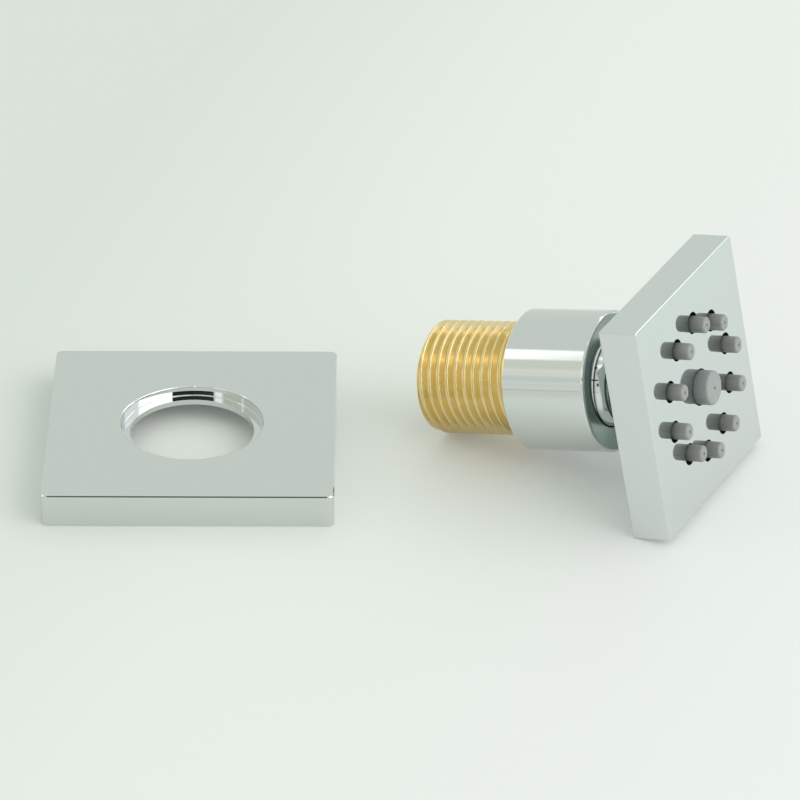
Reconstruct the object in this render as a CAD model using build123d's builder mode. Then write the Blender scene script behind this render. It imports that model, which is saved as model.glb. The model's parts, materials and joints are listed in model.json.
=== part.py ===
from build123d import *
import os
from math import asin, atan2, cos, degrees, hypot, radians, sin, sqrt

# A square shower body jet for a half-inch wall outlet, in millimetres.
# It lies on a table as it comes to rest: on the rear rim of its thread and on the lower rear edge
# of its spray head. Its wall flange lies flat beside it, taken off.
# +Z is up from the table, +X goes from the flange to the jet, +Y goes away from the viewer.

os.makedirs("parts", exist_ok=True)

# Inlet: a half-inch parallel pipe thread, 14 turns to the inch, each turn drawn as a ring
thread_radius = 20.955 / 2
thread_length = 19.25
thread_chamfer = 0.45
thread_pitch = 25.4 / 14
thread_depth = 1.1
thread_crest = 0.3
thread_root = 0.3
thread_runout = 1.2
waterway_radius = 6.6
regulator_pocket_radius = 7.8
regulator_pocket_depth = 8.0
regulator_thickness = 3.0
regulator_hole_radius = 0.7
regulator_hole_circle = 4.0
regulator_hole_count = 6
regulator_seal_radius = 0.75
regulator_seal_squeeze = 0.1

# Swivel: a ball held between a lip in front and a rubber seat behind
ball_radius = 9.0
ball_bore_radius = 4.0
ball_flat_reach = 7.0
ball_play = 0.05
ring_wall = 1.9
ring_rear_reach = 0.6
ring_play = 0.05
collar_wall = 2.1
collar_length = 16.95
collar_edge = 0.4
collar_round = 0.55
rim_width = 0.6
dish_depth = 0.7
lip_reach = 3.52
lip_gap = 0.2
lip_thickness = 0.85
screw_fit = 0.05
seat_wall = 1.3
seat_floor_reach = 6.6
seat_front_reach = 3.2
seat_proud = 0.6
seat_bore_radius = 7.0

# Stem between the ball and the spray head
neck_radius = 7.1
neck_shoulder_length = 0.85
waist_radius = 6.2
wrench_shoulder_radius = 8.2
wrench_shoulder_thickness = 1.2
stem_washer_thickness = 0.8
stem_washer_radius = 7.9
tail_radius = 5.5
tail_play = 0.05
tail_setback = 0.2

# Spray head: a square chrome cup closed by a cover at the back
head_reach = 21.1
plate_side = 41.25
plate_thickness = 7.4
plate_corner = 0.4
plate_front_round = 0.2
plate_rear_round = 0.35
plate_wall = 1.6
face_wall = 1.6
nozzle_count = 10
nozzle_circle = 12.18
nozzle_start = 13.5
nozzle_radius = 1.52
nozzle_proud = 2.85
nozzle_tip_round = 0.3
nozzle_gap = 0.5
nozzle_hole_shift = 0.25
nozzle_water_radius = 0.4
centre_radius = 3.15
centre_proud = 2.85
centre_gap = 0.25
centre_flange_radius = 4.6
centre_tip_round = 0.45
centre_water_radius = 0.55
mat_gap = 1.3
mat_thickness = 1.2
retainer_thickness = 0.8
retainer_hole_radius = 0.9
gasket_width = 1.4
cover_thickness = 2.0
cover_play = 0.12
cover_boss_radius = 8.6
cover_boss_height = 3.2
screw_inset = 4.3
screw_radius = 1.0
screw_head_radius = 1.9
screw_length = 4.6
screw_hole_play = 0.05
post_radius = 2.0

# Wall flange: a square cover plate with a stepped hole, hollow at the back
flange_side = 52.8
flange_thickness = 6.2
flange_corner = 1.2
flange_edge = 0.18
flange_wall = 1.6
flange_top_wall = 1.8
flange_hub_wall = 1.8
flange_recess_depth = 1.95
flange_lip_thickness = 1.0
flange_collar_gap = 0.1
flange_recess_round = 0.15
flange_thread_gap = 0.95
flange_hole_round = 0.3

# Where things lie on the table
jet_from_flange_x = 46.2
jet_from_flange_y = 10.42
jet_azimuth = -27.1
head_droop = 1.95

# Stations along the jet's axis, counted from the thread's rear end
collar_front = thread_length + collar_length
lip_front = collar_front - dish_depth
lip_rear = lip_front - lip_thickness
ball_station = lip_front - lip_reach
seat_floor = ball_station - seat_floor_reach
seat_front = ball_station - seat_front_reach
plug_front = seat_front - seat_proud

# Radii that fit one another in the swivel
bore_radius = ball_radius + ring_wall
collar_radius = bore_radius + collar_wall
plug_radius = bore_radius - screw_fit
seat_pocket_radius = plug_radius - seat_wall

# Stations along the head's axis, counted from the ball's centre
head_back = head_reach - plate_thickness
boss_rear = head_back - cover_boss_height
washer_rear = boss_rear - stem_washer_thickness
shoulder_rear = washer_rear - wrench_shoulder_thickness
cover_front = head_back + cover_thickness
tail_end = cover_front - tail_setback
mat_rear = head_reach - face_wall - mat_thickness
retainer_rear = mat_rear - retainer_thickness

# How the jet lies: the thread's rim and the head's rounded lower rear edge are both on the table
plate_half = plate_side / 2
edge_reach = head_back + plate_rear_round
edge_drop = plate_half - plate_rear_round
droop = radians(head_droop)
lie_run = ball_station - thread_chamfer + edge_reach * cos(droop) - edge_drop * sin(droop)
lie_rise = edge_reach * sin(droop) + edge_drop * cos(droop) - thread_radius
lie_angle = degrees(atan2(lie_rise, lie_run) + asin(plate_rear_round / hypot(lie_run, lie_rise)))
rear_height = thread_radius * cos(radians(lie_angle)) - thread_chamfer * sin(radians(lie_angle))


def aim(azimuth, elevation):
    """A direction from its angle round the table and its angle above it."""
    turn = radians(azimuth)
    rise = radians(elevation)
    return Vector(cos(turn) * cos(rise), sin(turn) * cos(rise), sin(rise))


def level_across(direction):
    """The level direction square to another one."""
    return Vector(0, 0, 1).cross(direction).normalized()


jet_direction = aim(jet_azimuth, lie_angle)
head_direction = aim(jet_azimuth, lie_angle - head_droop)

# The origin is the middle of the rectangle of table that the two pieces cover
jet_rear_raw = Vector(jet_from_flange_x, jet_from_flange_y, rear_height)
ball_raw = jet_rear_raw + jet_direction * ball_station
face_raw = Plane(ball_raw + head_direction * head_reach, level_across(head_direction), head_direction)
corner_signs = [(across, up) for across in (-1, 1) for up in (-1, 1)]
plate_corners = [
    face_raw.from_local_coords((across * plate_half, up * plate_half, depth))
    for across, up in corner_signs
    for depth in (-plate_thickness, 0)
]
flange_half = flange_side / 2
x_reach = [corner.X for corner in plate_corners] + [-flange_half, flange_half]
y_reach = [corner.Y for corner in plate_corners] + [-flange_half, flange_half]
table_middle = Vector((min(x_reach) + max(x_reach)) / 2, (min(y_reach) + max(y_reach)) / 2, 0)

jet_rear = jet_rear_raw - table_middle
ball_centre = ball_raw - table_middle
flange_centre = Vector(0, 0, 0) - table_middle

# Working planes: sections hold an axis along their X, with radii along their Y
jet_axis = Axis(jet_rear, jet_direction)
jet_section = Plane(jet_rear, jet_direction, level_across(jet_direction))
jet_face = Plane(jet_rear, level_across(jet_direction), jet_direction)
head_axis = Axis(ball_centre, head_direction)
head_section = Plane(ball_centre, head_direction, level_across(head_direction))
head_face = Plane(ball_centre, level_across(head_direction), head_direction)
flange_floor = Plane(flange_centre)


def on_ball(gap, along):
    """A section point on the sphere that stands a gap off the ball, some way along its axis."""
    return (along, sqrt((ball_radius + gap) ** 2 - along**2))


def jet_on_ball(gap, along):
    """The same point in the jet's section, whose stations start at the thread's rear end."""
    station, radius = on_ball(gap, along)
    return (ball_station + station, radius)


# Outline of the thread: crests at the full radius, with a straight-sided groove after each
thread_turns = int((thread_length - thread_chamfer - thread_crest - thread_runout) / thread_pitch)
thread_flank = (thread_pitch - thread_crest - thread_root) / 2
root_radius = thread_radius - thread_depth
thread_outline = [(thread_chamfer, thread_radius)]
for turn in range(thread_turns):
    crest_end = thread_chamfer + thread_crest + turn * thread_pitch
    root_start = crest_end + thread_flank
    root_end = root_start + thread_root
    thread_outline += [
        (crest_end, thread_radius),
        (root_start, root_radius),
        (root_end, root_radius),
        (root_end + thread_flank, thread_radius),
    ]

# Brass nipple: threaded outside, with the regulator's pocket at its rear and the seat's at its front
with BuildPart() as inlet_nipple:
    with BuildSketch(jet_section):
        with BuildLine():
            Polyline(
                (0, regulator_pocket_radius),
                (0, thread_radius - thread_chamfer),
                *thread_outline,
                (thread_length, thread_radius),
                (thread_length, plug_radius),
                (plug_front, plug_radius),
                (plug_front, seat_pocket_radius),
                (seat_floor, seat_pocket_radius),
                (seat_floor, waterway_radius),
                (regulator_pocket_depth, waterway_radius),
                (regulator_pocket_depth, regulator_pocket_radius),
                close=True,
            )
        make_face()
    revolve(axis=jet_axis)
inlet_nipple.part.label = "inlet_nipple"
export_step(inlet_nipple.part, "parts/inlet_nipple.step")

# Flow regulator: a drilled disc on the pocket's floor, with a groove for its seal
regulator_rear = regulator_pocket_depth - regulator_thickness
regulator_middle = regulator_pocket_depth - regulator_thickness / 2
regulator_seal_ring = regulator_pocket_radius - regulator_seal_radius + regulator_seal_squeeze
with BuildPart() as flow_regulator:
    with BuildSketch(jet_face.offset(regulator_rear)):
        Circle(regulator_pocket_radius - ring_play)
        Circle(regulator_hole_radius, mode=Mode.SUBTRACT)
        with PolarLocations(regulator_hole_circle, regulator_hole_count):
            Circle(regulator_hole_radius, mode=Mode.SUBTRACT)
    extrude(amount=regulator_thickness)
    with BuildSketch(jet_section):
        with Locations((regulator_middle, regulator_pocket_radius)):
            Rectangle(2 * regulator_seal_radius, 4 * regulator_seal_radius)
    revolve(axis=jet_axis, mode=Mode.SUBTRACT)
flow_regulator.part.label = "flow_regulator"
export_step(flow_regulator.part, "parts/flow_regulator.step")

# Regulator seal: a rubber ring in that groove, its outside flattened by the pocket's wall
with BuildPart() as regulator_seal:
    with BuildSketch(jet_section):
        with Locations((regulator_middle, regulator_seal_ring)):
            Circle(regulator_seal_radius)
        with Locations((regulator_middle, regulator_pocket_radius)):
            Rectangle(
                4 * regulator_seal_radius,
                4 * regulator_seal_radius,
                align=(Align.CENTER, Align.MIN),
                mode=Mode.SUBTRACT,
            )
    revolve(axis=jet_axis)
regulator_seal.part.label = "regulator_seal"
export_step(regulator_seal.part, "parts/regulator_seal.step")

# Swivel collar: a plain sleeve with a rounded, dished front and a lip that follows the ball
lip_rear_reach = lip_rear - ball_station
lip_middle_reach = (lip_reach + lip_rear_reach) / 2
with BuildPart() as swivel_collar:
    with BuildSketch(jet_section):
        with BuildLine():
            Polyline(
                jet_on_ball(lip_gap, lip_rear_reach),
                (lip_rear, bore_radius),
                (thread_length, bore_radius),
                (thread_length, collar_radius - collar_edge),
                (thread_length + collar_edge, collar_radius),
                (collar_front, collar_radius),
                (collar_front, collar_radius - rim_width),
                jet_on_ball(lip_gap, lip_reach),
            )
            ThreePointArc(
                jet_on_ball(lip_gap, lip_reach),
                jet_on_ball(lip_gap, lip_middle_reach),
                jet_on_ball(lip_gap, lip_rear_reach),
            )
        make_face()
    revolve(axis=jet_axis)
    fillet(faces().sort_by(jet_axis)[-1].outer_wire().edges(), collar_round)
swivel_collar.part.label = "swivel_collar"
export_step(swivel_collar.part, "parts/swivel_collar.step")

# Seat seal: a rubber ring in the nipple's front pocket, hollowed to the ball
seat_meet_reach = -sqrt((ball_radius + ball_play) ** 2 - seat_bore_radius**2)
seat_middle_reach = (seat_meet_reach - seat_front_reach) / 2
with BuildPart() as seat_seal:
    with BuildSketch(jet_section):
        with BuildLine():
            Polyline(
                jet_on_ball(ball_play, seat_meet_reach),
                (seat_floor, seat_bore_radius),
                (seat_floor, seat_pocket_radius - ring_play),
                (seat_front, seat_pocket_radius - ring_play),
                jet_on_ball(ball_play, -seat_front_reach),
            )
            ThreePointArc(
                jet_on_ball(ball_play, -seat_front_reach),
                jet_on_ball(ball_play, seat_middle_reach),
                jet_on_ball(ball_play, seat_meet_reach),
            )
        make_face()
    revolve(axis=jet_axis)
seat_seal.part.label = "seat_seal"
export_step(seat_seal.part, "parts/seat_seal.step")

# Slip ring: a plastic ring between the ball and the collar's shoulder, hollowed to the ball
ring_front_reach = lip_rear_reach - ring_play
ring_middle_reach = (ring_front_reach - ring_rear_reach) / 2
with BuildPart() as slip_ring:
    with BuildSketch(jet_section):
        with BuildLine():
            Polyline(
                jet_on_ball(ball_play, -ring_rear_reach),
                (ball_station - ring_rear_reach, bore_radius - ring_play),
                (ball_station + ring_front_reach, bore_radius - ring_play),
                jet_on_ball(ball_play, ring_front_reach),
            )
            ThreePointArc(
                jet_on_ball(ball_play, ring_front_reach),
                jet_on_ball(ball_play, ring_middle_reach),
                jet_on_ball(ball_play, -ring_rear_reach),
            )
        make_face()
    revolve(axis=jet_axis)
slip_ring.part.label = "slip_ring"
export_step(slip_ring.part, "parts/slip_ring.step")

# Ball stem: a hollow ball with its neck, waist, wrench shoulder and tail turned in one piece
neck_meet_reach = sqrt(ball_radius**2 - neck_radius**2)
neck_front = neck_meet_reach + neck_shoulder_length
with BuildPart() as ball_stem:
    with BuildSketch(head_section):
        with BuildLine():
            Polyline(
                on_ball(0, neck_meet_reach),
                (neck_front, neck_radius),
                (neck_front, waist_radius),
                (shoulder_rear, waist_radius),
                (shoulder_rear, wrench_shoulder_radius),
                (washer_rear, wrench_shoulder_radius),
                (washer_rear, tail_radius),
                (tail_end, tail_radius),
                (tail_end, ball_bore_radius),
                (-ball_flat_reach, ball_bore_radius),
                on_ball(0, -ball_flat_reach),
            )
            ThreePointArc(on_ball(0, -ball_flat_reach), on_ball(0, 0), on_ball(0, neck_meet_reach))
        make_face()
    revolve(axis=head_axis)
ball_stem.part.label = "ball_stem"
export_step(ball_stem.part, "parts/ball_stem.step")

# Stem washer: rubber, squeezed between the wrench shoulder and the cover's boss
with BuildPart() as stem_washer:
    with BuildSketch(head_face.offset(washer_rear)):
        Circle(stem_washer_radius)
        Circle(tail_radius + tail_play, mode=Mode.SUBTRACT)
    extrude(amount=stem_washer_thickness)
stem_washer.part.label = "stem_washer"
export_step(stem_washer.part, "parts/stem_washer.step")

# Face shell: the square cup, its four screw posts and the holes in its front wall
cavity_side = plate_side - 2 * plate_wall
screw_spacing = plate_side - 2 * screw_inset
nozzle_hole_radius = nozzle_radius + nozzle_gap
nozzle_hole_circle = nozzle_circle + nozzle_hole_shift
centre_hole_radius = centre_radius + centre_gap
face_front = head_face.offset(head_reach)
face_inside = head_face.offset(head_reach - face_wall)
with BuildPart() as face_shell:
    with BuildSketch(head_face.offset(head_back)):
        Rectangle(plate_side, plate_side)
        fillet(vertices(), plate_corner)
    extrude(amount=plate_thickness)
    fillet(faces().sort_by(head_axis)[-1].outer_wire().edges(), plate_front_round)
    fillet(faces().sort_by(head_axis)[0].outer_wire().edges(), plate_rear_round)
    with BuildSketch(face_inside):
        Rectangle(cavity_side, cavity_side)
    extrude(amount=face_wall - plate_thickness, mode=Mode.SUBTRACT)
    with BuildSketch(face_inside):
        with GridLocations(screw_spacing, screw_spacing, 2, 2):
            Circle(post_radius)
            Circle(screw_radius + screw_hole_play, mode=Mode.SUBTRACT)
    extrude(amount=cover_front + face_wall - head_reach)
    with BuildSketch(face_front):
        Circle(centre_hole_radius)
        with PolarLocations(nozzle_hole_circle, nozzle_count, nozzle_start):
            Circle(nozzle_hole_radius)
    extrude(amount=-face_wall, mode=Mode.SUBTRACT)
face_shell.part.label = "face_shell"
export_step(face_shell.part, "parts/face_shell.step")

# Nozzle mat: a silicone disc with ten tipped nozzles that stand out through the face
mat_radius = cavity_side / 2 - mat_gap
mat_front = head_face.offset(mat_rear + mat_thickness)
with BuildPart() as nozzle_mat:
    with BuildSketch(head_face.offset(mat_rear)):
        Circle(mat_radius)
        Circle(centre_flange_radius + cover_play, mode=Mode.SUBTRACT)
    extrude(amount=mat_thickness)
    with BuildSketch(mat_front):
        with PolarLocations(nozzle_circle, nozzle_count, nozzle_start):
            Circle(nozzle_radius)
    extrude(amount=face_wall + nozzle_proud)
    fillet(faces().group_by(head_axis)[-1].edges(), nozzle_tip_round)
    with BuildSketch(head_face.offset(head_reach + nozzle_proud)):
        with PolarLocations(nozzle_circle, nozzle_count, nozzle_start):
            Circle(nozzle_water_radius)
    extrude(amount=-(nozzle_proud + face_wall + mat_thickness), mode=Mode.SUBTRACT)
nozzle_mat.part.label = "nozzle_mat"
export_step(nozzle_mat.part, "parts/nozzle_mat.step")

# Centre nozzle: a larger plug with a foot held behind the face
with BuildPart() as centre_nozzle:
    with BuildSketch(head_face.offset(mat_rear)):
        Circle(centre_flange_radius)
    extrude(amount=mat_thickness)
    with BuildSketch(mat_front):
        Circle(centre_radius)
    extrude(amount=face_wall + centre_proud)
    fillet(faces().sort_by(head_axis)[-1].edges(), centre_tip_round)
    with BuildSketch(head_face.offset(head_reach + centre_proud)):
        Circle(centre_water_radius)
    extrude(amount=-(centre_proud + face_wall + mat_thickness), mode=Mode.SUBTRACT)
centre_nozzle.part.label = "centre_nozzle"
export_step(centre_nozzle.part, "parts/centre_nozzle.step")

# Mat retainer: a drilled disc that presses the mat and the centre nozzle against the face
with BuildPart() as mat_retainer:
    with BuildSketch(head_face.offset(retainer_rear)):
        Circle(mat_radius)
        Circle(retainer_hole_radius, mode=Mode.SUBTRACT)
        with PolarLocations(nozzle_circle, nozzle_count, nozzle_start):
            Circle(retainer_hole_radius, mode=Mode.SUBTRACT)
    extrude(amount=retainer_thickness)
mat_retainer.part.label = "mat_retainer"
export_step(mat_retainer.part, "parts/mat_retainer.step")

# Cover gasket: a ring that closes the water chamber between the cover and the retainer
with BuildPart() as cover_gasket:
    with BuildSketch(head_face.offset(cover_front)):
        Circle(mat_radius)
        Circle(mat_radius - gasket_width, mode=Mode.SUBTRACT)
    extrude(amount=retainer_rear - cover_front)
cover_gasket.part.label = "cover_gasket"
export_step(cover_gasket.part, "parts/cover_gasket.step")

# Back cover: a plate inside the cup's rear, with the stem's boss and countersunk screw holes
with BuildPart() as back_cover:
    with BuildSketch(head_face.offset(head_back)):
        Rectangle(cavity_side - 2 * cover_play, cavity_side - 2 * cover_play)
    extrude(amount=cover_thickness)
    with BuildSketch(head_face.offset(boss_rear)):
        Circle(cover_boss_radius)
    extrude(amount=cover_boss_height)
    with BuildSketch(head_face.offset(boss_rear)):
        Circle(tail_radius + tail_play)
    extrude(amount=cover_boss_height + cover_thickness, mode=Mode.SUBTRACT)
    with BuildSketch(head_face.offset(head_back)):
        with GridLocations(screw_spacing, screw_spacing, 2, 2):
            Circle(screw_radius + screw_hole_play)
    extrude(amount=cover_thickness, mode=Mode.SUBTRACT)
    with BuildSketch(head_face.offset(head_back)):
        with GridLocations(screw_spacing, screw_spacing, 2, 2):
            Circle(screw_head_radius + screw_hole_play)
    extrude(amount=screw_head_radius - screw_radius, taper=45, mode=Mode.SUBTRACT)
back_cover.part.label = "back_cover"
export_step(back_cover.part, "parts/back_cover.step")

# Cover screws: four countersunk screws, flush with the cover's back
with BuildPart() as cover_screws:
    with BuildSketch(head_face.offset(head_back)):
        with GridLocations(screw_spacing, screw_spacing, 2, 2):
            Circle(screw_head_radius)
    extrude(amount=screw_head_radius - screw_radius, taper=45)
    with BuildSketch(head_face.offset(head_back)):
        with GridLocations(screw_spacing, screw_spacing, 2, 2):
            Circle(screw_radius)
    extrude(amount=screw_length)
cover_screws.part.label = "cover_screws"
export_step(cover_screws.part, "parts/cover_screws.step")

# Wall flange: a hollow square plate with a hub, a recess for the collar and a lip below it
recess_radius = collar_radius + flange_collar_gap
hub_radius = recess_radius + flange_hub_wall
lip_underside = flange_thickness - flange_recess_depth - flange_lip_thickness
flange_cavity = flange_side - 2 * flange_wall
flange_top = flange_floor.offset(flange_thickness)
with BuildPart() as wall_flange:
    with BuildSketch(flange_floor):
        Rectangle(flange_side, flange_side)
        fillet(vertices(), flange_corner)
    extrude(amount=flange_thickness)
    chamfer(faces().sort_by(Axis.Z)[-1].outer_wire().edges(), flange_edge)
    with BuildSketch(flange_floor):
        Rectangle(flange_cavity, flange_cavity)
        Circle(hub_radius, mode=Mode.SUBTRACT)
    extrude(amount=flange_thickness - flange_top_wall, mode=Mode.SUBTRACT)
    with BuildSketch(flange_floor):
        Circle(hub_radius)
    extrude(amount=lip_underside, mode=Mode.SUBTRACT)
    with BuildSketch(flange_top):
        Circle(recess_radius)
    extrude(amount=-flange_recess_depth, mode=Mode.SUBTRACT)
    fillet(edges(Select.LAST).sort_by(Axis.Z)[0], flange_recess_round)
    fillet(faces().sort_by(Axis.Z)[-1].inner_wires().edges(), flange_hole_round)
    with BuildSketch(flange_floor):
        Circle(thread_radius + flange_thread_gap)
    extrude(amount=flange_thickness, mode=Mode.SUBTRACT)
wall_flange.part.label = "wall_flange"
export_step(wall_flange.part, "parts/wall_flange.step")

# The axes and places that the joints and mounts use
print("lie angle", lie_angle)
print("jet rear", tuple(jet_rear), "jet direction", tuple(jet_direction))
print("ball centre", tuple(ball_centre), "head direction", tuple(head_direction))
print("flange centre", tuple(flange_centre))
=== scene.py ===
# %% [markdown]
# # A square shower body jet and its wall flange
# The jet has three things to show: a brass pipe thread, a polished chrome swivel, and a square mirror of
# a spray head with soft grey nozzles. Its wall flange lies beside it. The sizes and the moving parts come
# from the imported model, so this lesson only cuts the thread, moulds the nozzles, presses the screws and
# gives every surface its finish and its light.

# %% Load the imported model
import json
from math import cos, pi, radians, sin

import bmesh
import bpy
from mathutils import Matrix, Vector


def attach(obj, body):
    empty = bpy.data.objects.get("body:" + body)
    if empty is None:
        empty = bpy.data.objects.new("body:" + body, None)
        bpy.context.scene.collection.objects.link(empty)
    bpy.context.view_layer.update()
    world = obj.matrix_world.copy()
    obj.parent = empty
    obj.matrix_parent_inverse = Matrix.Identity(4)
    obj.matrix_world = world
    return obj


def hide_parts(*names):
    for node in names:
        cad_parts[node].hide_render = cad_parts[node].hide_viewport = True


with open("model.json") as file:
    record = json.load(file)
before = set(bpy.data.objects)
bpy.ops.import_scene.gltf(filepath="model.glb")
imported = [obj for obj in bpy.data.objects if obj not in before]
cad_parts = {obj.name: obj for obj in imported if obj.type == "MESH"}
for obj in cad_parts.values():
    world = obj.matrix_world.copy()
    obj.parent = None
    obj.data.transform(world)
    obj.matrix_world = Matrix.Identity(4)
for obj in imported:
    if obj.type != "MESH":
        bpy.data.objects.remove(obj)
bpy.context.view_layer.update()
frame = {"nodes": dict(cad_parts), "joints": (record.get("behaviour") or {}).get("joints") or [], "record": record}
nodes = frame["nodes"]
joints = {joint["name"]: joint for joint in frame["joints"]}
mounts = {mount["name"]: mount for mount in frame["record"]["mounts"]}
mm = 0.001
print("nodes:", ", ".join(sorted(nodes)))

# %% [markdown]
# ## Two axes
# Everything round on the jet is turned about one of two axes: the inlet and the collar share one, and the
# stem and the spray head share the other. They cross in the ball's centre. The joints of the model
# already hold both, so they are read from there instead of being measured again.

# %% Read the axes
level_up = Vector((0, 0, 1))
jet_axis = Vector(joints["ring_turn"]["axis"]).normalized()
head_axis = Vector(joints["head_turn"]["axis"]).normalized()
ball_centre = Vector(joints["ring_turn"]["pos_m"])


def seat_on(origin, axis):
    """A matrix that stands a piece's Z on an axis, with its X level."""
    across = level_up.cross(axis).normalized()
    matrix = Matrix((across, axis.cross(across), axis)).transposed().to_4x4()
    matrix.translation = origin
    return matrix


def reach_along(node, axis):
    """Where a node starts and ends along an axis, counted from the ball's centre."""
    stations = [(vertex.co - ball_centre).dot(axis) for vertex in nodes[node].data.vertices]
    return min(stations), max(stations)


nipple_rear, nipple_front = reach_along("inlet_nipple", jet_axis)
nozzle_low, nozzle_high = reach_along("nozzle_mat", head_axis)
face_station = reach_along("face_shell", head_axis)[1]
print(f"the inlet starts {-nipple_rear / mm:.2f} mm behind the ball")

# %% [markdown]
# ## The camera
# The photograph is taken with a long lens from about 30 degrees above the table, so parallel edges stay
# nearly parallel. The camera is set by the point it looks at, its distance and three angles, and its axes
# are built by hand because that makes the roll plain to see.

# %% Set up the camera
camera_target = Vector((-1.122, 22.317, 0)) * mm
camera_distance = 917.95 * mm
camera_elevation = radians(30.344)
camera_yaw = radians(0.271)
camera_roll = radians(0.314)
camera_lens = 219.65
camera_sensor = 36
camera_near = 10 * mm

forward = Vector((
    sin(camera_yaw) * cos(camera_elevation),
    cos(camera_yaw) * cos(camera_elevation),
    -sin(camera_elevation),
))
right = Vector((cos(camera_yaw), -sin(camera_yaw), 0))
above = right.cross(forward)
rolled_right = right * cos(camera_roll) + above * sin(camera_roll)
rolled_above = above * cos(camera_roll) - right * sin(camera_roll)

camera_data = bpy.data.cameras.new("camera")
camera_data.lens = camera_lens
camera_data.sensor_width = camera_sensor
camera_data.clip_start = camera_near
camera = bpy.data.objects.new("camera", camera_data)
bpy.context.scene.collection.objects.link(camera)
camera.matrix_world = Matrix((rolled_right, rolled_above, -forward)).transposed().to_4x4()
camera.matrix_world.translation = camera_target - camera_distance * forward
bpy.context.scene.camera = camera
print("camera at", [round(x, 3) for x in camera.matrix_world.translation])

# %% [markdown]
# ## Small helpers for nodes
# A material, the world and a Geometry Nodes tree are all made of nodes, so one helper adds a node, sets
# its properties and fills its inputs, either with a number or with a link from another node. The others
# do what is needed again and again: a sum, a value stretched to new limits, two colours mixed, a row of
# colours, and a distance from an axis.

# %% Node helpers
noise_low = 0.3
noise_high = 0.7


def add_node(tree, kind, inputs=None, **settings):
    """Adds a node, sets its properties, and fills each input with a value or a link."""
    node = tree.nodes.new(kind)
    for name, value in settings.items():
        setattr(node, name, value)
    for name, value in (inputs or {}).items():
        if isinstance(value, bpy.types.NodeSocket):
            tree.links.new(value, node.inputs[name])
        else:
            node.inputs[name].default_value = value
    return node


def maths(tree, operation, *values):
    """One Math node; each value is a number or a link."""
    node = add_node(tree, "ShaderNodeMath", dict(enumerate(values)), operation=operation)
    return node.outputs[0]


def dot_product(tree, vector, direction):
    """How far a vector points along a direction."""
    node = add_node(tree, "ShaderNodeVectorMath", {0: vector, 1: direction}, operation="DOT_PRODUCT")
    return node.outputs["Value"]


def spread(tree, value, low, high, from_low=noise_low, from_high=noise_high):
    """Stretches a value to new limits; without limits of its own, the value is taken as noise."""
    node = add_node(
        tree,
        "ShaderNodeMapRange",
        {"Value": value, "From Min": from_low, "From Max": from_high, "To Min": low, "To Max": high},
    )
    return node.outputs["Result"]


def blend(tree, share, first, second):
    """Mixes two colours, each given as numbers or as a link."""
    node = add_node(
        tree, "ShaderNodeMix", {"Factor": share, "A": first, "B": second}, data_type="RGBA"
    )
    return node.outputs["Result"]


def colour_row(tree, value, stops):
    """Colours that change along a value; each stop is a place and a colour."""
    low = stops[0][0]
    high = stops[-1][0]
    row = add_node(tree, "ShaderNodeValToRGB", {"Fac": spread(tree, value, 0, 1, low, high)})
    elements = row.color_ramp.elements
    elements[0].color = (*stops[0][1], 1)
    elements[1].color = (*stops[-1][1], 1)
    for place, colour in stops[1:-1]:
        elements.new((place - low) / (high - low)).color = (*colour, 1)
    return row.outputs["Color"]


def from_axis(tree, parts):
    """How far a point lies from the Z axis, with its X, Y and Z given as links."""
    squares = [maths(tree, "MULTIPLY", parts[name], parts[name]) for name in ("X", "Y")]
    return maths(tree, "SQRT", maths(tree, "ADD", *squares))


# %% [markdown]
# ## Small helpers for materials
# Every material starts as one plain finish, which is varied afterwards. What varies it is fixed to the
# piece: either noise, or the point's place along one of the two axes and its distance from that axis.


# %% Material helpers
def new_material(name, colour, metallic, roughness):
    """A material with its Principled shader set to one plain finish, to be varied afterwards."""
    material = bpy.data.materials.new(name)
    material.use_nodes = True
    shader = material.node_tree.nodes["Principled BSDF"]
    shader.inputs["Base Color"].default_value = (*colour, 1)
    shader.inputs["Metallic"].default_value = metallic
    shader.inputs["Roughness"].default_value = roughness
    return material, material.node_tree, shader


def seated_place(tree, seat, stretch=(1, 1, 1)):
    """A point's place on its piece, counted from a seat and along the axes of that seat."""
    mapping = add_node(
        tree,
        "ShaderNodeMapping",
        {
            "Vector": add_node(tree, "ShaderNodeTexCoord").outputs["Object"],
            "Location": seat.translation,
            "Rotation": seat.to_euler(),
            "Scale": stretch,
        },
        vector_type="TEXTURE",
    )
    return mapping.outputs["Vector"]


def axis_place(tree, axis):
    """How far a point of a piece lies from an axis, and along it from the ball's centre."""
    place = seated_place(tree, seat_on(ball_centre, axis))
    parts = add_node(tree, "ShaderNodeSeparateXYZ", {"Vector": place}).outputs
    return from_axis(tree, parts), parts["Z"]


def object_noise(tree, scale, detail=3, stretch=(1, 1, 1), seat=Matrix()):
    """Noise that is fixed to the piece, in waves per metre, stretched along the axes of a seat."""
    place = seated_place(tree, seat, stretch)
    noise = add_node(tree, "ShaderNodeTexNoise", {"Vector": place, "Scale": scale, "Detail": detail})
    return noise.outputs["Fac"]


def vary_gloss(tree, shader, scale, low, high):
    """Lets the roughness wander between two limits, in waves per metre."""
    gloss = spread(tree, object_noise(tree, scale), low, high)
    tree.links.new(gloss, shader.inputs["Roughness"])
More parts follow.
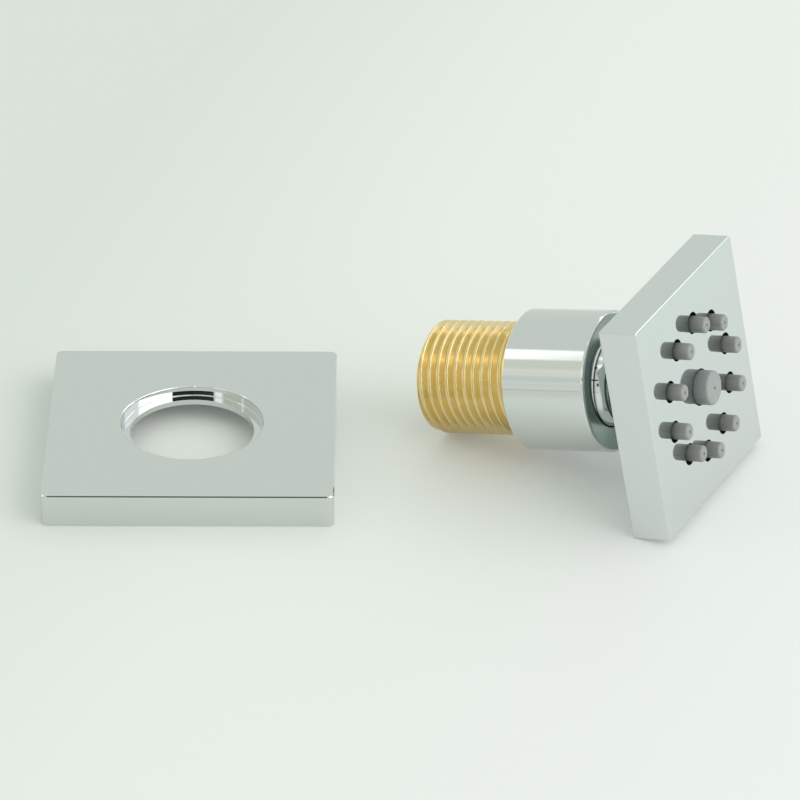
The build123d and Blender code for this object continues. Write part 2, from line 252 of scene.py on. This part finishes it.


# %% [markdown]
# ## The table
# The table is pale and slightly green, and its tone changes a little from left to right, which is painted
# light, lighter towards the right. It also glows softly, which stands for the light that a whole white room
# would throw back into the shadows. Round the flange it glows less, so that the shadow in the flange's hole stays
# deep.

# %% Lay the table
table_half = 1.4
table_drop = 0.02 * mm
table_roughness = 0.55
table_specular = 0.25
table_right = (1, -0.35, 0)
# Painted light: the tones grow lighter towards the right, where the table is lit more, and are raised round the
# flange to make up for its weaker glow
table_lit_tones = [
    (-100 * mm, (0.602, 0.632, 0.594)),
    (-20 * mm, (0.685, 0.710, 0.675)),
    (15 * mm, (0.636, 0.655, 0.628)),
    (75 * mm, (0.655, 0.668, 0.650)),
    (130 * mm, (0.663, 0.697, 0.680)),
]
flange_glow = 0.13
jet_glow = 0.24
glow_start = -20 * mm
glow_end = 15 * mm

table_material, table_tree, table_shader = new_material("table", table_lit_tones[0][1], 0, table_roughness)
table_shader.inputs["Specular IOR Level"].default_value = table_specular
table_place = add_node(table_tree, "ShaderNodeTexCoord").outputs["Object"]
toward_right = dot_product(table_tree, table_place, table_right)
# Painted light: the table's tone follows its place from left to right
table_lit_tone = colour_row(table_tree, toward_right, table_lit_tones)
table_glow = spread(table_tree, toward_right, flange_glow, jet_glow, glow_start, glow_end)
table_tree.links.new(table_lit_tone, table_shader.inputs["Base Color"])
table_tree.links.new(table_lit_tone, table_shader.inputs["Emission Color"])
table_tree.links.new(table_glow, table_shader.inputs["Emission Strength"])

table_corners = [(-1, -1), (1, -1), (1, 1), (-1, 1)]
table_points = [(x * table_half, y * table_half, -table_drop) for x, y in table_corners]
table_mesh = bpy.data.meshes.new("table")
table_mesh.from_pydata(table_points, [], [(0, 1, 2, 3)])
table_mesh.materials.append(table_material)
table = bpy.data.objects.new("table", table_mesh)
bpy.context.scene.collection.objects.link(table)
bpy.context.scene.view_settings.view_transform = "Standard"
print("table", 2 * table_half, "m wide")

# %% [markdown]
# ## The tent
# Polished chrome has no colour of its own to speak of: it shows the room. So the room is built with care.
# A pale tent hangs round the table, and its left wall has soft level stripes for the chrome to mirror.

# %% Hang the tent
tent_wall = (0.74, 0.80, 0.745)
left_wall = (-0.83, -0.56, 0)
left_fade = (0.2, 0.6)
left_stripes = [
    (-0.020, tent_wall),
    (0.005, tent_wall),
    (0.018, (0.48, 0.54, 0.51)),
    (0.032, (0.76, 0.80, 0.75)),
    (0.085, (0.80, 0.83, 0.78)),
    (0.140, (0.76, 0.79, 0.74)),
    (0.195, (0.80, 0.86, 0.82)),
    (0.240, (0.71, 0.78, 0.72)),
    (0.310, (0.71, 0.78, 0.72)),
    (0.350, (0.83, 0.87, 0.81)),
    (0.455, (0.90, 0.89, 0.80)),
    (0.500, (0.77, 0.80, 0.70)),
    (0.575, (0.76, 0.81, 0.69)),
    (0.620, tent_wall),
]
world = bpy.data.worlds.new("tent")
bpy.context.scene.world = world
world.use_nodes = True
room_tree = world.node_tree
gaze = add_node(room_tree, "ShaderNodeTexCoord").outputs["Generated"]


def facing(direction):
    """How far the gaze points along a direction."""
    return dot_product(room_tree, gaze, direction)


on_the_left = spread(room_tree, facing(left_wall), 0, 1, *left_fade)
striped_wall = colour_row(room_tree, facing(level_up), left_stripes)
room = blend(room_tree, on_the_left, (*tent_wall, 1), striped_wall)
print("tent with", len(left_stripes), "stops in the stripes of its left wall")

# %% [markdown]
# ## Lamps and dark openings
# The lamps and the dark openings are painted on the tent, because what is only seen in reflections needs
# no object. A panel is flat with soft edges. A band is level and goes part of the way round.

# %% Panel and band helpers
least_depth = 0.05


def hang_panel(under, toward, long_side, half_length, half_width, feather, colour):
    """Lays a flat panel with soft edges over the room; its sizes are shares of its distance."""
    outward = Vector(toward).normalized()
    along = Vector(long_side)
    along = (along - along.dot(outward) * outward).normalized()
    depth = facing(outward)
    cover = maths(room_tree, "GREATER_THAN", depth, least_depth)
    for axis, half in ((along, half_length), (outward.cross(along), half_width)):
        offset = maths(room_tree, "ABSOLUTE", maths(room_tree, "DIVIDE", facing(axis), depth))
        edge = spread(room_tree, offset, 1, 0, half - feather, half + feather)
        cover = maths(room_tree, "MULTIPLY", cover, edge)
    return blend(room_tree, cover, under, (*colour, 1))


def hang_band(under, middle, half_turn, low, high, feather, colour):
    """Lays a level band over the room, between two heights and round a middle given in degrees."""
    outward = Vector((cos(radians(middle)), sin(radians(middle)), 0))
    turn = maths(room_tree, "ARCTAN2", facing(outward.cross(level_up)), facing(outward))
    turn = maths(room_tree, "ABSOLUTE", turn)
    height = facing(level_up)
    cover = spread(room_tree, turn, 1, 0, radians(half_turn) - feather, radians(half_turn) + feather)
    for limit, inside, outside in ((low, 1, 0), (high, 0, 1)):
        edge = spread(room_tree, height, outside, inside, limit - feather, limit + feather)
        cover = maths(room_tree, "MULTIPLY", cover, edge)
    return blend(room_tree, cover, under, (*colour, 1))


# %% Paint the panels
level_right = (1, 0, 0)
white = (1.5, 1.5, 1.5)
black = (0.03, 0.034, 0.033)
# A band: middle, half turn, low and high limit, feather, colour
# A panel: direction, long side, half length, half width, feather, colour
layers = [
    (hang_band, -8, 28, 0.03, 0.40, 0.05, (2.5, 2.53, 2.5)),
    (hang_band, 28, 27, 0.34, 0.70, 0.06, (1.25, 1.27, 1.27)),
    (hang_band, 72, 13, 0.40, 0.55, 0.03, (0.77, 0.83, 0.91)),
    (hang_band, 60, 25, 0.57, 0.66, 0.02, (2.6, 2.6, 2.6)),
    (hang_panel, (0.75, -0.40, 0.53), (0.47, 0.88, 0), 0.58, 0.42, 0.1, (2.4, 2.4, 2.4)),
    (hang_panel, (-0.798, 0.030, 0.636), (-0.65, 0.57, -0.50), 0.09, 0.125, 0.03, (2.1, 2.1, 2.1)),
    (hang_panel, (-0.585, -0.638, 0.50), level_up, 0.20, 0.10, 0.04, white),
    (hang_panel, (0.129, -0.122, 0.985), level_right, 0.10, 0.08, 0.03, (1.3, 1.3, 1.3)),
    (hang_panel, (0.098, -0.460, 0.882), level_right, 0.09, 0.08, 0.03, (1.3, 1.3, 1.3)),
    (hang_panel, (-0.035, -0.504, 0.862), level_right, 0.06, 0.04, 0.015, (0.1, 0.11, 0.11)),
    (hang_band, -90, 34, 0.481, 0.529, 0.01, black),
    (hang_panel, (0.057, -0.937, 0.344), level_right, 0.06, 0.06, 0.015, black),
]
for paint, *shape in layers:
    room = paint(room, *shape)
room_tree.links.new(room, room_tree.nodes["Background"].inputs["Color"])
print(len(layers), "panels and bands")

# %% [markdown]
# ## Chrome
# Chrome plating is a mirror whose gloss varies very slightly. Inside the nozzle holes it gives way to painted
# shade, dark and not metallic. In the collar's dish it is satin and painted darker, as painted shade. A few
# dark rings round the ball are painted reflections and shade.

# %% Choose the tones of the chrome
chrome_tone = (0.70, 0.725, 0.715)
chrome_waves = 60
chrome_gloss = (0.025, 0.06)
face_tone = (0.70, 0.732, 0.732)
# Painted shade: inside the nozzle holes, from 0.05 to 0.15 mm behind the face, the plating gives way to near black
hole_shade_tone = (0.02, 0.02, 0.02)
holes_radius = 15.5 * mm
hole_shade_deep = 0.15 * mm
hole_shade_edge = 0.05 * mm
# Painted shade: the collar's dish gets a dark teal tone in place of the chrome tone; its satin gloss is real
dish_shade_tone = (0.34, 0.40, 0.39)
dish_roughness = 0.25
dish_radius = 12.4 * mm
dish_station = 3.0 * mm
# Painted reflections and shade: dark and grey rings painted on the ball's plating at given places along the head's
# axis
reflection_ring_dark = (0.07, 0.08, 0.078)
reflection_ring_grey = (0.55, 0.575, 0.565)
ball_reflection_rings = [
    (3.0 * mm, chrome_tone),
    (3.5 * mm, chrome_tone),
    (3.62 * mm, reflection_ring_dark),
    (3.78 * mm, reflection_ring_dark),
    (3.92 * mm, reflection_ring_grey),
    (4.3 * mm, chrome_tone),
    (5.3 * mm, chrome_tone),
    (5.42 * mm, reflection_ring_dark),
    (5.58 * mm, reflection_ring_dark),
    (5.7 * mm, chrome_tone),
    (6.0 * mm, chrome_tone),
    (6.12 * mm, reflection_ring_dark),
    (6.3 * mm, reflection_ring_dark),
    (6.4 * mm, chrome_tone),
]
print("rings on the ball from", ball_reflection_rings[0][0] / mm, "to", ball_reflection_rings[-1][0] / mm, "mm")


# %% Plate the chrome
def plating(name):
    """Polished plating: a clean mirror whose gloss varies very slightly from place to place."""
    material, tree, shader = new_material(name, chrome_tone, metallic=1, roughness=0.04)
    vary_gloss(tree, shader, chrome_waves, *chrome_gloss)
    return material, tree, shader


def shell_finish():
    """The same plating on the spray head, with painted shade inside the holes: dark and not metallic."""
    material, tree, shader = plating("plated_shell")
    radius, station = axis_place(tree, head_axis)
    # Painted shade inside the holes: behind the face and within the ring of holes the surface is dark and not
    # metallic
    on_face = spread(tree, station, 0, 1, face_station - hole_shade_deep, face_station - hole_shade_edge)
    on_rim = maths(tree, "GREATER_THAN", radius, holes_radius)
    plated = maths(tree, "MAXIMUM", on_face, on_rim)
    tone = blend(tree, plated, (*hole_shade_tone, 1), (*face_tone, 1))
    tree.links.new(tone, shader.inputs["Base Color"])
    tree.links.new(plated, shader.inputs["Metallic"])
    return material


def collar_finish():
    """The same plating on the collar, satin in the dish round the ball and painted darker there as painted shade.
    """
    material, tree, shader = plating("plated_collar")
    radius, station = axis_place(tree, jet_axis)
    in_front = maths(tree, "GREATER_THAN", station, dish_station)
    inside = maths(tree, "LESS_THAN", radius, dish_radius)
    in_dish = maths(tree, "MULTIPLY", in_front, inside)
    # Painted shade: the dish's darker tone
    tone = blend(tree, in_dish, (*chrome_tone, 1), (*dish_shade_tone, 1))
    tree.links.new(tone, shader.inputs["Base Color"])
    gloss = shader.inputs["Roughness"].links[0].from_socket
    satin = maths(tree, "MULTIPLY", in_dish, dish_roughness)
    tree.links.new(maths(tree, "MAXIMUM", gloss, satin), shader.inputs["Roughness"])
    return material


def ball_finish():
    """The same plating on the ball, with a few painted dark rings round it that stand for reflections and shade.
    """
    material, tree, shader = plating("plated_ball")
    station = axis_place(tree, head_axis)[1]
    tree.links.new(colour_row(tree, station, ball_reflection_rings), shader.inputs["Base Color"])
    return material


chrome = plating("polished_chrome")[0]
plated_shell = shell_finish()
plated_collar = collar_finish()
plated_ball = ball_finish()
plated = (chrome, plated_shell, plated_collar, plated_ball)
print("plated:", ", ".join(finish.name for finish in plated))

# %% [markdown]
# ## Brass and steel
# Brass straight from the lathe is golden and satin, with soft darker patches. The screws are of a duller
# grey steel.

# %% Finish the brass and the steel
brass_dark = (0.83, 0.66, 0.335)
brass_light = (0.87, 0.72, 0.41)
brass_patches = 300
brass_waves = 900
brass_gloss = (0.18, 0.27)
steel_tone = (0.52, 0.53, 0.54)
steel_waves = 1500
steel_gloss = (0.22, 0.4)

brass, brass_tree, brass_shader = new_material("turned_brass", brass_light, metallic=1, roughness=0.22)
patches = spread(brass_tree, object_noise(brass_tree, brass_patches), 0, 1)
brass_tone = blend(brass_tree, patches, (*brass_dark, 1), (*brass_light, 1))
brass_tree.links.new(brass_tone, brass_shader.inputs["Base Color"])
vary_gloss(brass_tree, brass_shader, brass_waves, *brass_gloss)

screw_steel, steel_tree, steel_shader = new_material("screw_steel", steel_tone, metallic=1, roughness=0.3)
vary_gloss(steel_tree, steel_shader, steel_waves, *steel_gloss)
print("metals:", brass.name, "and", screw_steel.name)

# %% [markdown]
# ## Silicone, rubber and plastic
# The nozzles are matt silicone with faint streaks along them, and darker at the foot, where they come out
# of their holes. The seals are black rubber. The back cover and the plain pieces inside are satin
# plastic. All of them have a trace of mould grain.

# %% Finish the soft and moulded pieces
nozzle_dark = (0.245, 0.255, 0.235)
nozzle_light = (0.295, 0.305, 0.285)
centre_dark = (0.268, 0.288, 0.283)
centre_light = (0.32, 0.337, 0.33)
seal_tone = (0.02, 0.02, 0.02)
slip_tone = (0.50, 0.58, 0.56)
regulator_tone = (0.62, 0.65, 0.64)
grain_distance = 0.1 * mm
grain_detail = 4
soft_grain = (2500, 0.08)
hard_grain = (1800, 0.05)
streak_waves = 2200
streak_detail = 2
streak_stretch = (1, 1, 14)
foot_paleness = 0.45
rubber_waves = 400
rubber_gloss = (0.44, 0.56)


def grain_bump(tree, shader, scale, strength):
    """A fine mould grain."""
    grain = object_noise(tree, scale, grain_detail)
    bump = add_node(
        tree, "ShaderNodeBump", {"Height": grain, "Strength": strength, "Distance": grain_distance}
    )
    tree.links.new(bump.outputs["Normal"], shader.inputs["Normal"])


def silicone_finish(name, dark, light):
    """Moulded silicone: matt grey with faint streaks along the nozzles, where the mould drew off."""
    material, tree, shader = new_material(name, light, metallic=0, roughness=0.5)
    head_seat = seat_on(ball_centre, head_axis)
    streaks = object_noise(tree, streak_waves, streak_detail, streak_stretch, head_seat)
    tone = blend(tree, spread(tree, streaks, 0, 1), (*dark, 1), (*light, 1))
    station = axis_place(tree, head_axis)[1]
    paleness = spread(tree, station, foot_paleness, 1, face_station, nozzle_high)
    tree.links.new(blend(tree, paleness, (0, 0, 0, 1), tone), shader.inputs["Base Color"])
    grain_bump(tree, shader, *soft_grain)
    return material


def rubber_finish(name, colour):
    """Soft rubber: matt, with a fine grain and a faint bloom."""
    material, tree, shader = new_material(name, colour, metallic=0, roughness=0.5)
    vary_gloss(tree, shader, rubber_waves, *rubber_gloss)
    grain_bump(tree, shader, *soft_grain)
    return material


def plastic_finish(name, colour):
    """Moulded plastic: an even satin with a trace of mould grain."""
    material, tree, shader = new_material(name, colour, metallic=0, roughness=0.42)
    grain_bump(tree, shader, *hard_grain)
    return material


nozzle_grey = silicone_finish("nozzle_silicone", nozzle_dark, nozzle_light)
centre_grey = silicone_finish("centre_silicone", centre_dark, centre_light)
seal_black = rubber_finish("seal_rubber", seal_tone)
slip_pale = plastic_finish("slip_plastic", slip_tone)
regulator_pale = plastic_finish("regulator_plastic", regulator_tone)
moulded = (nozzle_grey, centre_grey, seal_black, slip_pale, regulator_pale)
print("moulded:", ", ".join(finish.name for finish in moulded))

# %% Give every node its finish
node_finishes = {
    "swivel_collar": plated_collar,
    "ball_stem": plated_ball,
    "face_shell": plated_shell,
    "back_cover": slip_pale,
    "wall_flange": chrome,
    "seat_seal": seal_black,
    "stem_washer": seal_black,
    "regulator_seal": seal_black,
    "cover_gasket": seal_black,
    "slip_ring": slip_pale,
    "mat_retainer": slip_pale,
    "flow_regulator": regulator_pale,
    "inlet_nipple": brass,
    "nozzle_mat": nozzle_grey,
    "centre_nozzle": centre_grey,
    "cover_screws": screw_steel,
}
for node_name, finish in node_finishes.items():
    nodes[node_name].data.materials[0] = finish
print(len(node_finishes), "nodes finished")

# %% [markdown]
# ## Turning on the lathe
# A turned piece is a profile swung round an axis. The profile is a closed loop of radius and height
# pairs, so the piece is watertight from the start. It is turned about Z at the origin and carried to its
# seat at the very end, which keeps the numbers easy to read.

# %% Lathe helpers
weld_distance = 1e-8
small_steps = 40
large_steps = 96


def turned_mesh(name, profile, steps):
    """A mesh made by swinging a closed profile of (radius, height) pairs once round Z."""
    bm = bmesh.new()
    rings = []
    for step in range(steps):
        angle = 2 * pi * step / steps
        rings.append([bm.verts.new((r * cos(angle), r * sin(angle), h)) for r, h in profile])
    for step in range(steps):
        near = rings[step]
        far = rings[(step + 1) % steps]
        for index in range(len(profile)):
            after = (index + 1) % len(profile)
            bm.faces.new((near[index], near[after], far[after], far[index]))
    bmesh.ops.remove_doubles(bm, verts=bm.verts, dist=weld_distance)
    bmesh.ops.recalc_face_normals(bm, faces=bm.faces)
    mesh = bpy.data.meshes.new(name)
    bm.to_mesh(mesh)
    bm.free()
    return mesh


def round_corner(radius, height, corner, steps):
    """Profile points of a quarter round that ends a cylinder at its top."""
    points = []
    for step in range(steps + 1):
        angle = pi / 2 * step / steps
        points.append((radius - corner + corner * cos(angle), height - corner + corner * sin(angle)))
    return points


def place_piece(name, mesh, seat, material, node, body, sharp_angle=35):
    """Carries a mesh to its seat and lets it stand for a node of the model."""
    mesh.transform(seat)
    mesh.materials.clear()
    mesh.materials.append(material)
    mesh.shade_smooth()
    mesh.set_sharp_from_angle(angle=radians(sharp_angle))
    piece = bpy.data.objects.new(name, mesh)
    bpy.context.scene.collection.objects.link(piece)
    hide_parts(node)
    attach(piece, body)
    print(f"{name}: {len(mesh.polygons)} faces, stands for {node}")


# %% [markdown]
# ## A Geometry Nodes tree is run once
# Each tree is built here, given its inputs by name, evaluated once, and its result is kept as a plain
# mesh. A link or a number fills each input, as with the materials.


# %% Tree helpers
def new_tree(name, inputs):
    """A Geometry Nodes tree whose inputs are a geometry, a material and some numbers."""
    tree = bpy.data.node_groups.new(name, "GeometryNodeTree")
    sockets = {"Geometry": "NodeSocketGeometry", "Material": "NodeSocketMaterial", **inputs}
    for label, kind in sockets.items():
        tree.interface.new_socket(label, in_out="INPUT", socket_type=kind)
    tree.interface.new_socket("Geometry", in_out="OUTPUT", socket_type="NodeSocketGeometry")
    given = tree.nodes.new("NodeGroupInput")
    return tree, given.outputs


def end_tree(tree, geometry, material):
    """Realizes the instances, gives them their material and ends the tree."""
    real = add_node(tree, "GeometryNodeRealizeInstances", {"Geometry": geometry})
    dressed = add_node(
        tree, "GeometryNodeSetMaterial", {"Geometry": real.outputs["Geometry"], "Material": material}
    )
    add_node(tree, "NodeGroupOutput", {"Geometry": dressed.outputs["Geometry"]})
    print(f"tree {tree.name}: {len(tree.nodes)} nodes")


def run_tree(mesh, tree, values):
    """Evaluates a tree on a mesh with the given inputs and returns the result as a plain mesh."""
    holder = bpy.data.objects.new("holder", mesh)
    bpy.context.scene.collection.objects.link(holder)
    modifier = holder.modifiers.new("tree", "NODES")
    modifier.node_group = tree
    for item in tree.interface.items_tree:
        if item.name in values:
            modifier[item.identifier] = values[item.name]
    depsgraph = bpy.context.evaluated_depsgraph_get()
    result = bpy.data.meshes.new_from_object(holder.evaluated_get(depsgraph), depsgraph=depsgraph)
    holder.modifiers.remove(modifier)
    bpy.data.objects.remove(holder)
    return result


# %% [markdown]
# ## Cutting the pipe thread
# The nipple starts as a smooth blank. A half-inch pipe thread has 14 turns to the inch. At every point of
# the blank, the distance to the nearest crest says how deep the tool has cut. The distance runs up and
# down like a zigzag along the axis, and moving it by one pitch for each turn makes the helix. The flanks
# are straight, the root is left soft, and the cut fades out before the collar.

# %% Turn the blank
thread_radius = mounts["inlet_thread"]["dims"]["r_mm"] * mm
thread_chamfer = 0.45 * mm
thread_length = mounts["inlet_thread"]["dims"]["length_mm"] * mm + thread_chamfer
thread_rows = 400
thread_steps = 144
pocket_radius = 7.8 * mm
pocket_depth = 8.0 * mm
waterway_radius = 6.6 * mm
plug_radius = 10.85 * mm
seat_pocket_radius = 9.55 * mm
seat_pocket_depth = 2.8 * mm
nipple_length = nipple_front - nipple_rear

blank = [
    (pocket_radius, 0),
    (thread_radius - thread_chamfer, 0),
    (thread_radius - thread_chamfer / 2, thread_chamfer / 2),
]
for row in range(thread_rows + 1):
    share = row / thread_rows
    blank.append((thread_radius, thread_chamfer + share * (thread_length - thread_chamfer)))
blank += [
    (plug_radius, thread_length),
    (plug_radius, nipple_length),
    (seat_pocket_radius, nipple_length),
    (seat_pocket_radius, nipple_length - seat_pocket_depth),
    (waterway_radius, nipple_length - seat_pocket_depth),
    (waterway_radius, pocket_depth),
    (pocket_radius, pocket_depth),
]
blank_mesh = turned_mesh("thread_blank", blank, thread_steps)
print("blank", round(nipple_length / mm, 2), "mm long")

# %% Build the thread tree
flank_steepness = 1.25
root_softness = 0.25
thread_tree, cut = new_tree(
    "cut_thread",
    {
        "Crest Radius": "NodeSocketFloat",
        "Depth": "NodeSocketFloat",
        "Pitch": "NodeSocketFloat",
        "Flat": "NodeSocketFloat",
        "Phase": "NodeSocketFloat",
        "Fade Start": "NodeSocketFloat",
        "Fade End": "NodeSocketFloat",
    },
)


def reckon(operation, *values):
    """One sum in the thread tree."""
    return maths(thread_tree, operation, *values)


point = add_node(thread_tree, "GeometryNodeInputPosition").outputs["Position"]
parts = add_node(thread_tree, "ShaderNodeSeparateXYZ", {"Vector": point}).outputs
radius_now = from_axis(thread_tree, parts)
turns = reckon("DIVIDE", reckon("ARCTAN2", parts["Y"], parts["X"]), 2 * pi)
climb = reckon("MULTIPLY", reckon("ADD", turns, cut["Phase"]), cut["Pitch"])
half_pitch = reckon("MULTIPLY", cut["Pitch"], 0.5)
from_crest = reckon("PINGPONG", reckon("SUBTRACT", parts["Z"], climb), half_pitch)
flank = spread(thread_tree, from_crest, 0, flank_steepness, cut["Flat"], half_pitch)
fade = spread(thread_tree, parts["Z"], 1, 0, cut["Fade Start"], cut["Fade End"])
tool = reckon("SMOOTH_MIN", flank, 1, root_softness)
bite = reckon("MULTIPLY", reckon("MULTIPLY", tool, fade), cut["Depth"])
tool_radius = reckon("SUBTRACT", cut["Crest Radius"], bite)
metal = reckon("MINIMUM", radius_now, cut["Crest Radius"])
removed = reckon("MAXIMUM", reckon("SUBTRACT", metal, tool_radius), 0)
shrink = reckon("DIVIDE", reckon("SUBTRACT", radius_now, removed), radius_now)
shrunk = {name: reckon("MULTIPLY", parts[name], shrink) for name in ("X", "Y")}
moved = add_node(thread_tree, "ShaderNodeCombineXYZ", {**shrunk, "Z": parts["Z"]})
threaded = add_node(
    thread_tree,
    "GeometryNodeSetPosition",
    {"Geometry": cut["Geometry"], "Position": moved.outputs["Vector"]},
)
end_tree(thread_tree, threaded.outputs["Geometry"], cut["Material"])

# %% Cut the thread
inch = 25.4 * mm
turns_per_inch = 14
thread_pitch = inch / turns_per_inch
depth_share = 0.64
crest_flat = 0.1 * mm
thread_phase = 0.27
fade_start = 1.1 * mm
fade_end = 0.3 * mm
thread_sharp_angle = 50

thread_mesh = run_tree(
    blank_mesh,
    thread_tree,
    {
        "Material": brass,
        "Crest Radius": thread_radius,
        "Depth": depth_share * thread_pitch,
        "Pitch": thread_pitch,
        "Flat": crest_flat,
        "Phase": thread_phase,
        "Fade Start": thread_length - fade_start,
        "Fade End": thread_length - fade_end,
    },
)
place_piece(
    "threaded_nipple",
    thread_mesh,
    seat_on(ball_centre + nipple_rear * jet_axis, jet_axis),
    brass,
    node="inlet_nipple",
    body="housing",
    sharp_angle=thread_sharp_angle,
)

# %% [markdown]
# ## Moulding the nozzles
# One nozzle is turned with a soft tip and a fine hole. A tree copies it to the points of a circle, so the
# number of nozzles, their circle and their first angle are plain inputs. The same tree puts the screws at
# the corners of the back cover, since four points of a circle are a square.

# %% Turn one nozzle
nozzle_foot_radius = 1.56 * mm
nozzle_radius = 1.5 * mm
nozzle_tip_round = 0.38 * mm
nozzle_tip_steps = 6
nozzle_water_radius = 0.22 * mm
nozzle_mouth_radius = 0.3 * mm
nozzle_mouth_depth = 0.12 * mm
nozzle_height = nozzle_high - nozzle_low

nozzle_profile = [(nozzle_water_radius, 0), (nozzle_foot_radius, 0)]
nozzle_profile += round_corner(nozzle_radius, nozzle_height, nozzle_tip_round, nozzle_tip_steps)
nozzle_profile += [
    (nozzle_mouth_radius, nozzle_height),
    (nozzle_water_radius, nozzle_height - nozzle_mouth_depth),
]
nozzle_mesh = turned_mesh("one_nozzle", nozzle_profile, small_steps)
print("nozzle", round(nozzle_height / mm, 2), "mm tall with its foot")

# %% Build the ring tree
ring_tree, ring = new_tree(
    "ring_of_copies", {"Count": "NodeSocketInt", "Circle": "NodeSocketFloat", "Start": "NodeSocketFloat"}
)
circle = add_node(
    ring_tree, "GeometryNodeMeshCircle", {"Vertices": ring["Count"], "Radius": ring["Circle"]}
)
turn_start = add_node(ring_tree, "ShaderNodeCombineXYZ", {"Z": ring["Start"]})
turned_circle = add_node(
    ring_tree,
    "GeometryNodeTransform",
    {"Geometry": circle.outputs["Mesh"], "Rotation": turn_start.outputs["Vector"]},
)
copies = add_node(
    ring_tree,
    "GeometryNodeInstanceOnPoints",
    {"Points": turned_circle.outputs["Geometry"], "Instance": ring["Geometry"]},
)
end_tree(ring_tree, copies.outputs["Instances"], ring["Material"])

# %% Copy the nozzles and add their mat
nozzle_count = 10
nozzle_circle = 12.18 * mm
nozzle_start = radians(13.5)
mat_thickness = 1.2 * mm
mat_outside = 17.725 * mm
mat_inside = 4.72 * mm

nozzles_mesh = run_tree(
    nozzle_mesh,
    ring_tree,
    {"Material": nozzle_grey, "Count": nozzle_count, "Circle": nozzle_circle, "Start": nozzle_start},
)
mat_profile = [
    (mat_inside, 0),
    (mat_outside, 0),
    (mat_outside, mat_thickness),
    (mat_inside, mat_thickness),
]
joined = bmesh.new()
joined.from_mesh(nozzles_mesh)
joined.from_mesh(turned_mesh("mat", mat_profile, large_steps))
joined.to_mesh(nozzles_mesh)
joined.free()
place_piece(
    "moulded_nozzles",
    nozzles_mesh,
    seat_on(ball_centre + nozzle_low * head_axis, head_axis),
    nozzle_grey,
    node="nozzle_mat",
    body="head",
)

# %% Turn the centre nozzle
centre_low, centre_high = reach_along("centre_nozzle", head_axis)
centre_height = centre_high - centre_low
centre_foot_radius = 4.6 * mm
centre_radius = 3.15 * mm
centre_tip_round = 0.5 * mm
centre_tip_steps = 8
centre_water_radius = 0.28 * mm
centre_mouth_radius = 0.36 * mm

centre_profile = [
    (centre_water_radius, 0),
    (centre_foot_radius, 0),
    (centre_foot_radius, mat_thickness),
    (centre_radius, mat_thickness),
]
centre_profile += round_corner(centre_radius, centre_height, centre_tip_round, centre_tip_steps)
centre_profile += [
    (centre_mouth_radius, centre_height),
    (centre_water_radius, centre_height - nozzle_mouth_depth),
]
place_piece(
    "moulded_centre",
    turned_mesh("moulded_centre", centre_profile, large_steps),
    seat_on(ball_centre + centre_low * head_axis, head_axis),
    centre_grey,
    node="centre_nozzle",
    body="head",
)

# %% [markdown]
# ## Four screws at the back
# A screw is turned like the nozzles. A second tree presses the cross recess into its head by taking two
# crossed bars away from it, and then the ring tree sets four of them at the corners of the cover.

# %% Build the cross tree
cross_tree, cross = new_tree(
    "press_cross", {"Arm": "NodeSocketFloat", "Width": "NodeSocketFloat", "Depth": "NodeSocketFloat"}
)
pressed = add_node(
    cross_tree,
    "GeometryNodeMeshBoolean",
    {"Mesh 1": cross["Geometry"]},
    operation="DIFFERENCE",
)
# Half of each bar stands out of the head, so it is twice as tall as the recess is deep
bar_height = maths(cross_tree, "MULTIPLY", cross["Depth"], 2)
for along_x, along_y in (("Arm", "Width"), ("Width", "Arm")):
    bar_size = add_node(
        cross_tree, "ShaderNodeCombineXYZ", {"X": cross[along_x], "Y": cross[along_y], "Z": bar_height}
    )
    bar = add_node(cross_tree, "GeometryNodeMeshCube", {"Size": bar_size.outputs["Vector"]})
    cross_tree.links.new(bar.outputs["Mesh"], pressed.inputs["Mesh 2"])
end_tree(cross_tree, pressed.outputs["Mesh"], cross["Material"])

# %% Turn the screws and set them in the cover
screw_count = 4
screw_corner = 16.325 * mm
screw_circle = screw_corner * 2**0.5
screw_start = radians(45)
screw_head_radius = 1.9 * mm
screw_radius = 1.0 * mm
cross_arm = 2.1 * mm
cross_width = 0.5 * mm
cross_depth = 0.9 * mm
screw_low, screw_high = reach_along("cover_screws", head_axis)
screw_length = screw_high - screw_low

screw_profile = [
    (0, 0),
    (screw_head_radius, 0),
    (screw_radius, screw_head_radius - screw_radius),
    (screw_radius, screw_length),
    (0, screw_length),
]
screw_mesh = run_tree(
    turned_mesh("one_screw", screw_profile, small_steps),
    cross_tree,
    {"Material": screw_steel, "Arm": cross_arm, "Width": cross_width, "Depth": cross_depth},
)
screws_mesh = run_tree(
    screw_mesh,
    ring_tree,
    {"Material": screw_steel, "Count": screw_count, "Circle": screw_circle, "Start": screw_start},
)
place_piece(
    "pressed_screws",
    screws_mesh,
    seat_on(ball_centre + screw_low * head_axis, head_axis),
    screw_steel,
    node="cover_screws",
    body="head",
)
